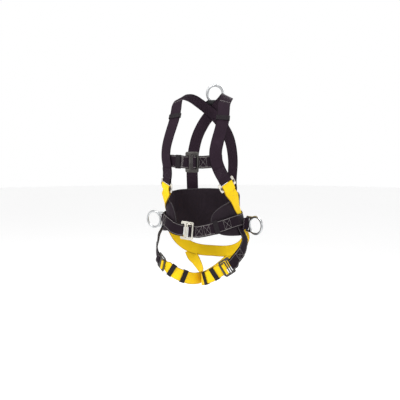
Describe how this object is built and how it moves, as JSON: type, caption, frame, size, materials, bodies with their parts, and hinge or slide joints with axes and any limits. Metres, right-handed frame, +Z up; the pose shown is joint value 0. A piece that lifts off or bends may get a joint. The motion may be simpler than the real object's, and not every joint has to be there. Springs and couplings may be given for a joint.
{
  "type": "safety harness",
  "caption": "Full body fall arrest harness with padded waist belt, leg loops, mating buckles, shoulder adjusters, side rings and a back ring.",
  "frame": {"origin": "centre of the wearer's waist at the height of the belt", "axes": "+X to the wearer's left, -Y the way the wearer faces, +Z up"},
  "size_m": [0.4916, 0.2752, 0.7619],
  "materials": {
    "black_webbing": "ribbed polyester webbing, near black",
    "yellow_webbing": "ribbed polyester webbing, golden yellow",
    "pad_fabric": "padded woven fabric with bound edge",
    "keeper_elastic": "matt elastic band",
    "moulded_plastic": "fine moulded grain",
    "forged_steel": "polished plated forging",
    "bright_steel": "zinc plated, satin",
    "dark_steel": "dark plated, satin"
  },
  "bodies": {
    "harness": {"left_shoulder_strap": "black_webbing", "right_shoulder_strap": "black_webbing", "seat_strap": "yellow_webbing", "left_hip_strap": "black_webbing", "right_hip_strap": "black_webbing", "left_thigh_strap": "yellow_webbing", "right_thigh_strap": "yellow_webbing", "left_chest_strap": "black_webbing", "right_chest_strap": "black_webbing", "waist_belt": "black_webbing", "lumbar_pad": "pad_fabric", "back_plate": "moulded_plastic", "back_ring_loop": "black_webbing", "left_ring_loop": "black_webbing", "right_ring_loop": "black_webbing", "chest_buckle_frame": "dark_steel", "waist_buckle_frame": "bright_steel", "left_leg_buckle_frame": "dark_steel", "right_leg_buckle_frame": "dark_steel", "left_adjuster_frame": "bright_steel", "right_adjuster_frame": "bright_steel"},
    "chest_link": {"chest_buckle_link": "dark_steel"},
    "waist_link": {"waist_buckle_link": "bright_steel"},
    "left_leg_link": {"left_leg_buckle_link": "dark_steel"},
    "right_leg_link": {"right_leg_buckle_link": "dark_steel"},
    "left_side_ring": {"left_side_ring": "forged_steel"},
    "right_side_ring": {"right_side_ring": "forged_steel"},
    "back_ring": {"back_ring": "forged_steel"},
    "left_bar": {"left_adjuster_bar": "dark_steel"},
    "right_bar": {"right_adjuster_bar": "dark_steel"},
    "left_outer_thigh_keeper": {"left_outer_thigh_keeper": "keeper_elastic"},
    "left_inner_thigh_keeper": {"left_inner_thigh_keeper": "keeper_elastic"},
    "right_outer_thigh_keeper": {"right_outer_thigh_keeper": "keeper_elastic"},
    "right_inner_thigh_keeper": {"right_inner_thigh_keeper": "keeper_elastic"},
    "left_shoulder_keeper": {"left_shoulder_keeper": "keeper_elastic"},
    "right_shoulder_keeper": {"right_shoulder_keeper": "keeper_elastic"},
    "belt_keeper": {"belt_keeper": "keeper_elastic"},
    "chest_keeper": {"chest_keeper": "keeper_elastic"}
  },
  "joints": [
    {"name": "chest_link_tilt", "type": "hinge", "parent": "harness", "child": "chest_link", "pos_m": [0.02121, -0.14677, 0.23914], "axis": [0, -0.0176, -0.9998], "range_deg": [0, 30]},
    {"name": "waist_link_tilt", "type": "hinge", "parent": "harness", "child": "waist_link", "pos_m": [-0.00824, -0.12438, -0.01148], "axis": [-0.0698, -0.0407, -0.9967], "range_deg": [0, 30]},
    {"name": "left_leg_link_tilt", "type": "hinge", "parent": "harness", "child": "left_leg_link", "pos_m": [0.12237, -0.1127, -0.14376], "axis": [-0.3503, -0.4147, 0.8398], "range_deg": [0, 30]},
    {"name": "right_leg_link_tilt", "type": "hinge", "parent": "harness", "child": "right_leg_link", "pos_m": [-0.12237, -0.1127, -0.14376], "axis": [-0.3503, 0.4147, -0.8398], "range_deg": [0, 30]},
    {"name": "left_side_ring_swing", "type": "hinge", "parent": "harness", "child": "left_side_ring", "pos_m": [0.17058, 0.006, 0.0074], "axis": [0.0599, 0, 0.9982], "range_deg": [-50, 110]},
    {"name": "right_side_ring_swing", "type": "hinge", "parent": "harness", "child": "right_side_ring", "pos_m": [-0.17058, 0.006, 0.0074], "axis": [0.0599, 0, -0.9982], "range_deg": [-93, 67]},
    {"name": "back_ring_swing", "type": "hinge", "parent": "harness", "child": "back_ring", "pos_m": [0.01023, 0.10698, 0.45018], "axis": [1, -0.009, -0.0031], "range_deg": [-150, 10]},
    {"name": "left_bar_slide", "type": "slide", "parent": "harness", "child": "left_bar", "axis": [0.2562, 0.545, -0.7984], "range_m": [-0.0015, 0.0015]},
    {"name": "right_bar_slide", "type": "slide", "parent": "harness", "child": "right_bar", "axis": [-0.1919, 0.3319, -0.9236], "range_m": [-0.0015, 0.0015]},
    {"name": "left_outer_thigh_keeper_slide", "type": "hinge", "parent": "harness", "child": "left_outer_thigh_keeper", "pos_m": [0.087, -0.01549, -0.15555], "axis": [0.5559, 0.0554, -0.8294], "range_deg": [-2.02, 2.02]},
    {"name": "left_inner_thigh_keeper_slide", "type": "hinge", "parent": "harness", "child": "left_inner_thigh_keeper", "pos_m": [0.10091, -0.01998, -0.18068], "axis": [0.3426, -0.1823, -0.9216], "range_deg": [-4.72, 4.72]},
    {"name": "right_outer_thigh_keeper_slide", "type": "hinge", "parent": "harness", "child": "right_outer_thigh_keeper", "pos_m": [-0.087, -0.01549, -0.15555], "axis": [0.5559, -0.0554, 0.8294], "range_deg": [-2.02, 2.02]},
    {"name": "right_inner_thigh_keeper_slide", "type": "hinge", "parent": "harness", "child": "right_inner_thigh_keeper", "pos_m": [-0.10091, -0.01998, -0.18068], "axis": [0.3426, 0.1823, 0.9216], "range_deg": [-4.72, 4.72]},
    {"name": "left_shoulder_keeper_slide", "type": "hinge", "parent": "harness", "child": "left_shoulder_keeper", "pos_m": [0.03173, 0.13103, 0.26806], "axis": [-0.9567, -0.2835, 0.0659], "range_deg": [-2.23, 2.23]},
    {"name": "right_shoulder_keeper_slide", "type": "hinge", "parent": "harness", "child": "right_shoulder_keeper", "pos_m": [-0.01992, 0.20011, 0.22514], "axis": [-0.9826, 0.1303, -0.1326], "range_deg": [-1.01, 1.01]},
    {"name": "belt_keeper_slide", "type": "slide", "parent": "harness", "child": "belt_keeper", "axis": [0.8772, 0.4033, 0.2606], "range_m": [-0.002, 0.001]},
    {"name": "chest_keeper_slide", "type": "slide", "parent": "harness", "child": "chest_keeper", "axis": [-0.9935, 0.1099, 0.0307], "range_m": [-0.003, 0.003]}
  ]
}
